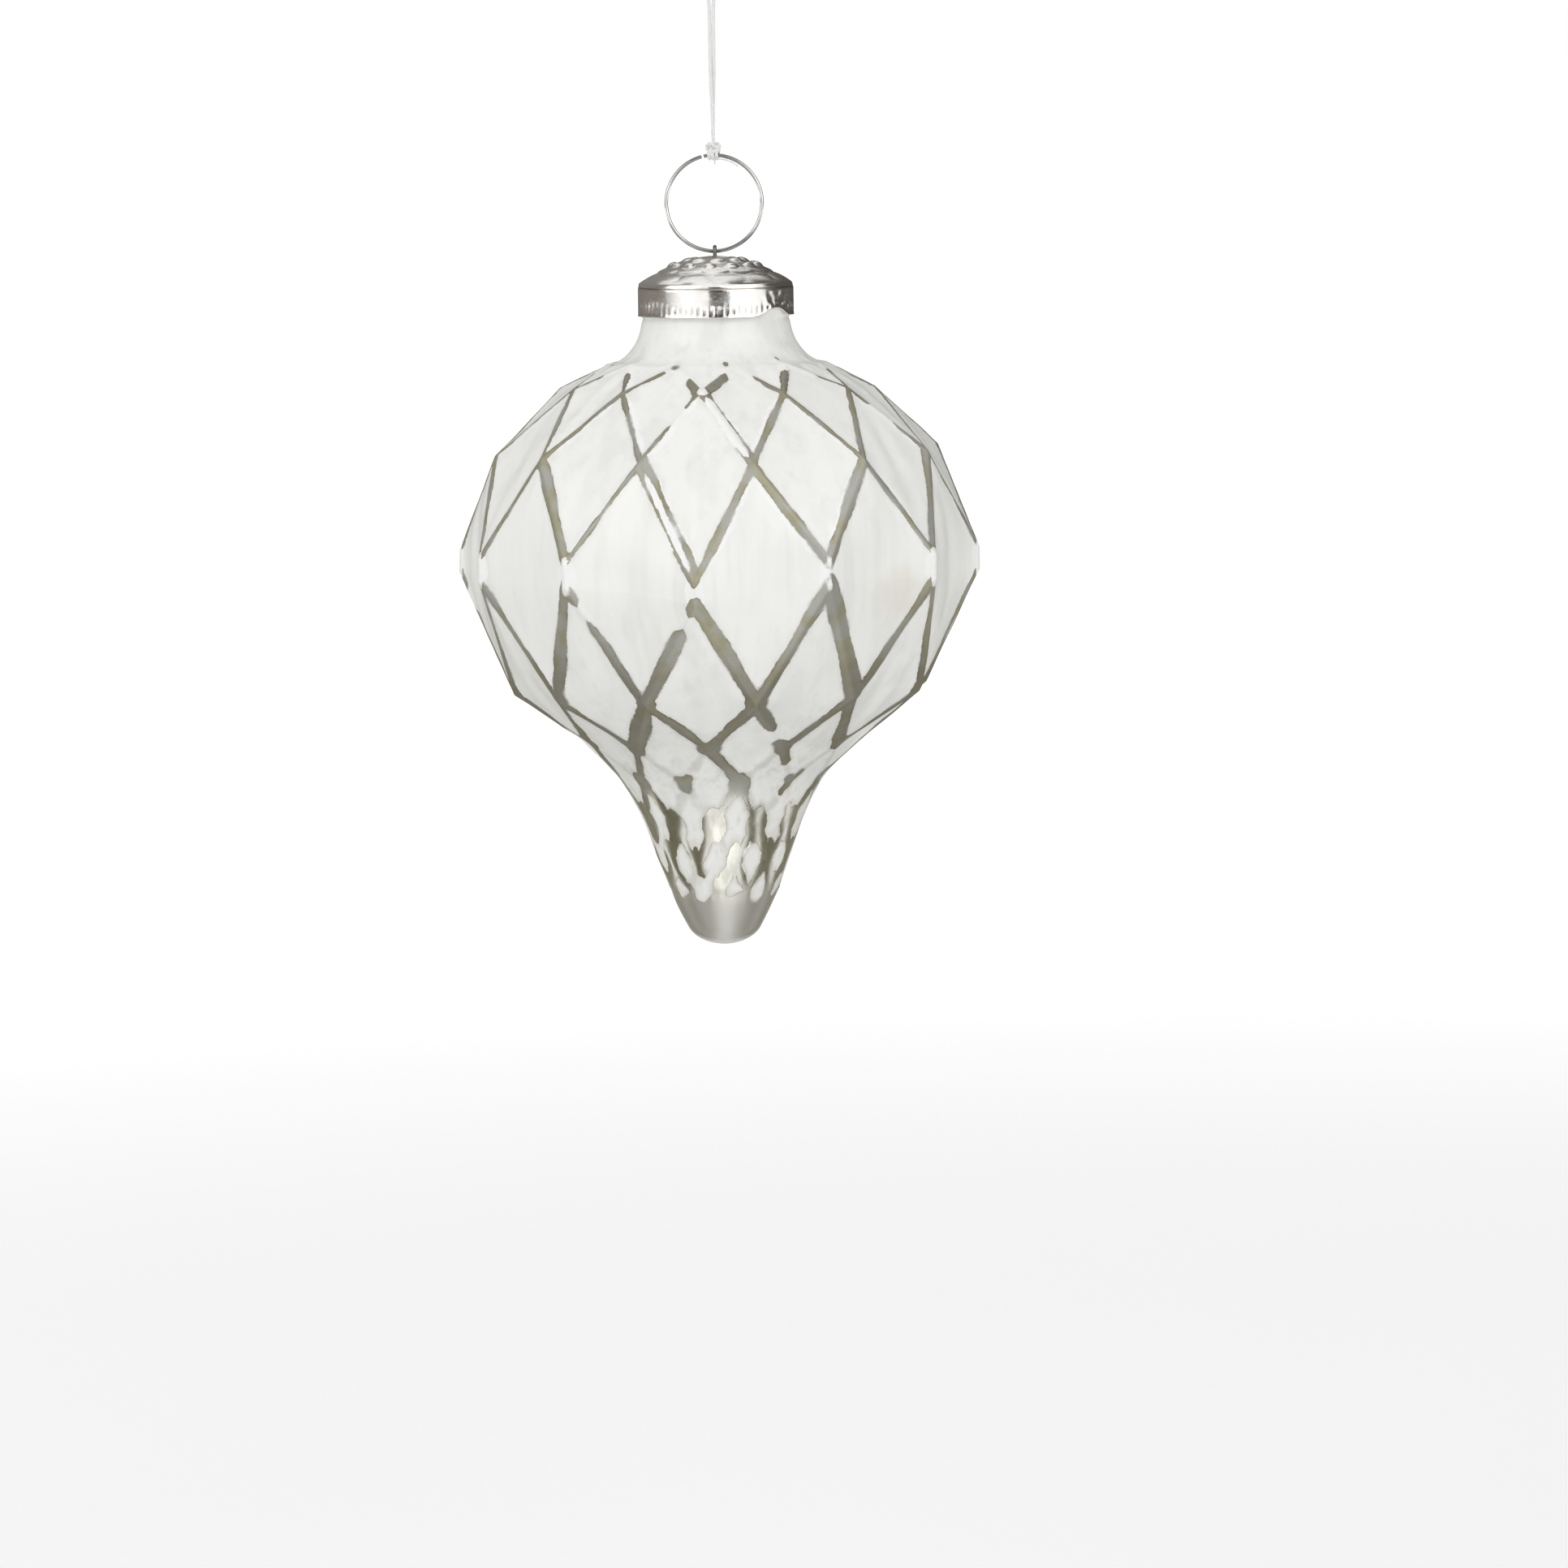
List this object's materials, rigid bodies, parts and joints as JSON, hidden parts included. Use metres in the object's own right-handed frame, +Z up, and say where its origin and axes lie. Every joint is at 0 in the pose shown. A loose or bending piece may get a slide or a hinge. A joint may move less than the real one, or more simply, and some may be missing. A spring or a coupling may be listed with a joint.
{
  "type": "hanging ornament",
  "caption": "Faceted glass drop ornament, silvered and painted, with a stamped metal cap, a swivelling wire eye, a split ring and a thread loop to hang it by.",
  "frame": {"origin": "inside of the thread loop's top bend, where it hangs over a hook", "axes": "+Z up along the hanging line, the ring lies in the XZ plane, -Y is the front"},
  "size_m": [0.0832, 0.0832, 0.1635],
  "materials": {
    "painted_glass": "silvered inside, satin white paint on each panel, bare silver along the ridges",
    "cap_tin": "bright stamped tinplate",
    "steel_wire": "drawn wire",
    "cotton": "twisted white cotton thread"
  },
  "bodies": {
    "thread": {"cord_loop": "cotton", "ring_knot": "cotton"},
    "ring": {"hanging_ring": "steel_wire"},
    "eye": {"eye_wire": "steel_wire"},
    "cap": {"metal_cap": "cap_tin"},
    "glass": {"glass_body": "painted_glass"}
  },
  "joints": [
    {"name": "ring_in_knot", "type": "hinge", "parent": "thread", "child": "ring", "pos_m": [0, 0, -0.04395], "axis": [0, 1, 0], "range_deg": [-90, 90]},
    {"name": "eye_on_ring", "type": "hinge", "parent": "ring", "child": "eye", "pos_m": [0, 0, -0.0516], "axis": [1, 0, 0], "range_deg": [-110, 110]},
    {"name": "cap_swivel", "type": "hinge", "parent": "eye", "child": "cap", "pos_m": [0, 0, -0.0526], "axis": [0, 0, 1], "continuous": true},
    {"name": "cap_pull_off", "type": "slide", "parent": "cap", "child": "glass", "axis": [0, 0, -1], "range_m": [0, 0.018]}
  ]
}
